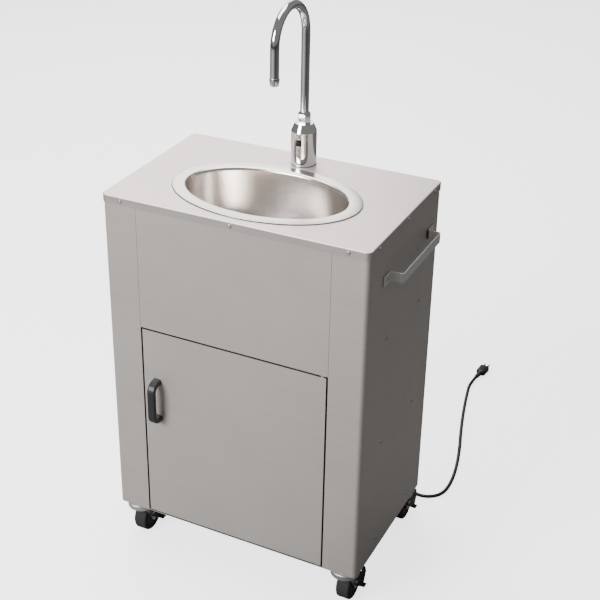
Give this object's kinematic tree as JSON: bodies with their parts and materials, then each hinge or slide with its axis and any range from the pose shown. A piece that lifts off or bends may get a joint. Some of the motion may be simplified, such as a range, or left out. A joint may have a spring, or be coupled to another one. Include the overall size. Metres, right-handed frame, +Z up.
{
  "type": "portable handwash sink",
  "caption": "Wheeled sheet-metal handwash cabinet with an oval bowl, a gooseneck sensor faucet, a hinged door, a side grab handle and a mains cord.",
  "frame": {"origin": "on the floor under the middle of the cabinet's footprint", "axes": "+Z up, the door and the bowl's user side face -Y, the grab handle is on +X"},
  "size_m": [0.6462, 1.1664, 1.2784],
  "materials": {
    "deck_steel": "fine brushed, matte",
    "panel_steel": "fine brushed, matte",
    "inner_steel": "mill finish",
    "bowl_steel": "satin, polished rim",
    "handle_steel": "brushed, bright edges",
    "fastener_steel": "plain steel",
    "faucet_chrome": "polished",
    "window_black": "dark gloss",
    "seal_rubber": "matte",
    "brass_fitting": "plain",
    "pull_black": "moulded, fine texture",
    "drain_plastic": "moulded",
    "waste_hose": "ribbed",
    "tank_plastic": "translucent moulded",
    "cap_plastic": "moulded",
    "heater_enamel": "gloss enamel",
    "pump_black": "moulded",
    "hose_blue": "flexible tube",
    "cord_black": "smooth jacket",
    "blade_brass": "plated",
    "caster_zinc": "bright zinc plate",
    "brake_steel": "black plated",
    "tyre_rubber": "matte tread",
    "hub_plastic": "moulded"
  },
  "bodies": {
    "cabinet": {"top_deck": "deck_steel", "bowl": "bowl_steel", "drain_strainer": "bowl_steel", "drain_nut": "drain_plastic", "drain_hose": "waste_hose", "left_side_panel": "panel_steel", "right_side_panel": "panel_steel", "front_apron": "panel_steel", "back_panel": "panel_steel", "base_pan": "panel_steel", "frame_posts": "inner_steel", "grab_handle": "handle_steel", "panel_screws": "fastener_steel", "door_catch": "pull_black", "faucet_body": "faucet_chrome", "faucet_gasket": "seal_rubber", "sensor_window": "window_black", "faucet_shank": "brass_fitting", "shank_nut": "brass_fitting", "neck_nut": "faucet_chrome", "fresh_tank": "tank_plastic", "waste_tank": "tank_plastic", "tank_caps": "cap_plastic", "water_heater": "heater_enamel", "pump": "pump_black", "supply_hoses": "hose_blue", "control_box": "pump_black", "cord_gland": "cord_black", "power_cord": "cord_black", "power_plug": "cord_black", "plug_blades": "blade_brass", "caster_stems": "caster_zinc", "stem_nuts": "caster_zinc"},
    "door": {"door_skin": "panel_steel", "door_liner": "inner_steel", "door_pull": "pull_black", "pull_screws": "fastener_steel", "hinge_pins": "fastener_steel"},
    "spout": {"gooseneck": "faucet_chrome", "aerator": "faucet_chrome"},
    "fork_front_left": {"yoke_front_left": "caster_zinc", "axle_front_left": "caster_zinc"},
    "wheel_front_left": {"tyre_front_left": "tyre_rubber", "hub_front_left": "hub_plastic"},
    "pedal_front_left": {"brake_front_left": "brake_steel"},
    "fork_front_right": {"yoke_front_right": "caster_zinc", "axle_front_right": "caster_zinc"},
    "wheel_front_right": {"tyre_front_right": "tyre_rubber", "hub_front_right": "hub_plastic"},
    "pedal_front_right": {"brake_front_right": "brake_steel"},
    "fork_rear_left": {"yoke_rear_left": "caster_zinc", "axle_rear_left": "caster_zinc"},
    "wheel_rear_left": {"tyre_rear_left": "tyre_rubber", "hub_rear_left": "hub_plastic"},
    "pedal_rear_left": {"brake_rear_left": "brake_steel"},
    "fork_rear_right": {"yoke_rear_right": "caster_zinc", "axle_rear_right": "caster_zinc"},
    "wheel_rear_right": {"tyre_rear_right": "tyre_rubber", "hub_rear_right": "hub_plastic"},
    "pedal_rear_right": {"brake_rear_right": "brake_steel"}
  },
  "joints": [
    {"name": "door_hinge", "type": "hinge", "parent": "cabinet", "child": "door", "pos_m": [0.2101, -0.1861, 0.35], "axis": [0, 0, 1], "range_deg": [0, 110]},
    {"name": "spout_swivel", "type": "hinge", "parent": "cabinet", "child": "spout", "pos_m": [0, 0.147, 1], "axis": [0, 0, 1], "range_deg": [-90, 90]},
    {"name": "swivel_front_left", "type": "hinge", "parent": "cabinet", "child": "fork_front_left", "pos_m": [-0.265, -0.16, 0.09], "axis": [0, 0, 1], "continuous": true},
    {"name": "roll_front_left", "type": "hinge", "parent": "fork_front_left", "child": "wheel_front_left", "pos_m": [-0.265, -0.138, 0.038], "axis": [1, 0, 0], "continuous": true},
    {"name": "brake_front_left", "type": "hinge", "parent": "fork_front_left", "child": "pedal_front_left", "pos_m": [-0.239, -0.152, 0.058], "axis": [-1, 0, 0], "range_deg": [0, 8]},
    {"name": "swivel_front_right", "type": "hinge", "parent": "cabinet", "child": "fork_front_right", "pos_m": [0.265, -0.16, 0.09], "axis": [0, 0, 1], "continuous": true},
    {"name": "roll_front_right", "type": "hinge", "parent": "fork_front_right", "child": "wheel_front_right", "pos_m": [0.265, -0.138, 0.038], "axis": [1, 0, 0], "continuous": true},
    {"name": "brake_front_right", "type": "hinge", "parent": "fork_front_right", "child": "pedal_front_right", "pos_m": [0.291, -0.152, 0.058], "axis": [-1, 0, 0], "range_deg": [0, 8]},
    {"name": "swivel_rear_left", "type": "hinge", "parent": "cabinet", "child": "fork_rear_left", "pos_m": [-0.265, 0.16, 0.09], "axis": [0, 0, 1], "continuous": true},
    {"name": "roll_rear_left", "type": "hinge", "parent": "fork_rear_left", "child": "wheel_rear_left", "pos_m": [-0.265, 0.182, 0.038], "axis": [1, 0, 0], "continuous": true},
    {"name": "brake_rear_left", "type": "hinge", "parent": "fork_rear_left", "child": "pedal_rear_left", "pos_m": [-0.239, 0.168, 0.058], "axis": [-1, 0, 0], "range_deg": [0, 8]},
    {"name": "swivel_rear_right", "type": "hinge", "parent": "cabinet", "child": "fork_rear_right", "pos_m": [0.265, 0.16, 0.09], "axis": [0, 0, 1], "continuous": true},
    {"name": "roll_rear_right", "type": "hinge", "parent": "fork_rear_right", "child": "wheel_rear_right", "pos_m": [0.265, 0.182, 0.038], "axis": [1, 0, 0], "continuous": true},
    {"name": "brake_rear_right", "type": "hinge", "parent": "fork_rear_right", "child": "pedal_rear_right", "pos_m": [0.291, 0.168, 0.058], "axis": [-1, 0, 0], "range_deg": [0, 8]}
  ]
}
